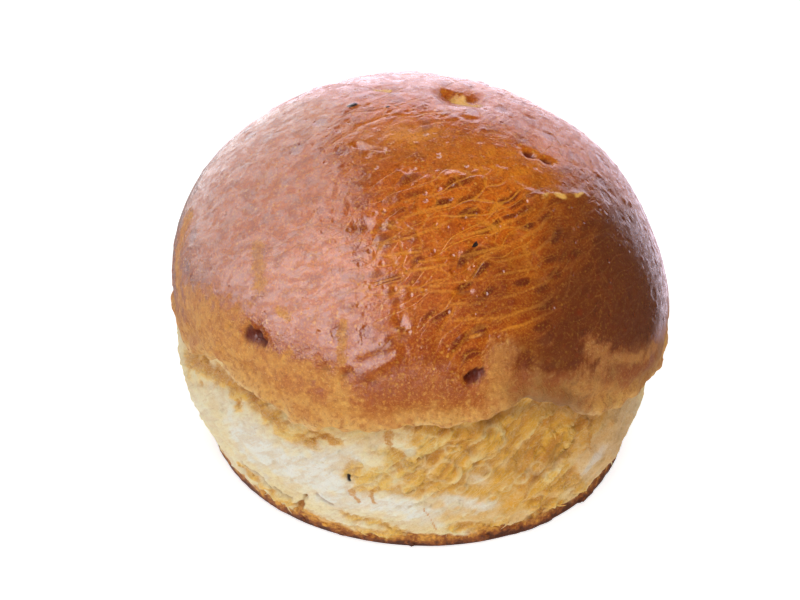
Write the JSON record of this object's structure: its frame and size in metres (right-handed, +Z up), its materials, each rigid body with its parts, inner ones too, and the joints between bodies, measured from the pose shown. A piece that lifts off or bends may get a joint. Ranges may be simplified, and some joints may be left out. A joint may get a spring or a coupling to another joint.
{
  "type": "hamburger bun",
  "caption": "Whole, uncut hamburger bun: a tall glossy domed crown of browned crust over a pale side torn open in the oven, on a flat baked base.",
  "frame": {"origin": "middle of the bun's bounding box, on the flat base it stands on", "axes": "+Z up from the base to the top of the crown, +X to the right as the picture shows it, -Y towards the viewer"},
  "size_m": [0.1018, 0.1018, 0.076],
  "materials": {
    "bread": "baked bread: glossy egg-washed brown crust on the crown, matte golden towards its edge, torn cream crumb on the side and a dark baked rim at the foot"
  },
  "bodies": {
    "root": {"bun": "bread"}
  },
  "joints": []
}
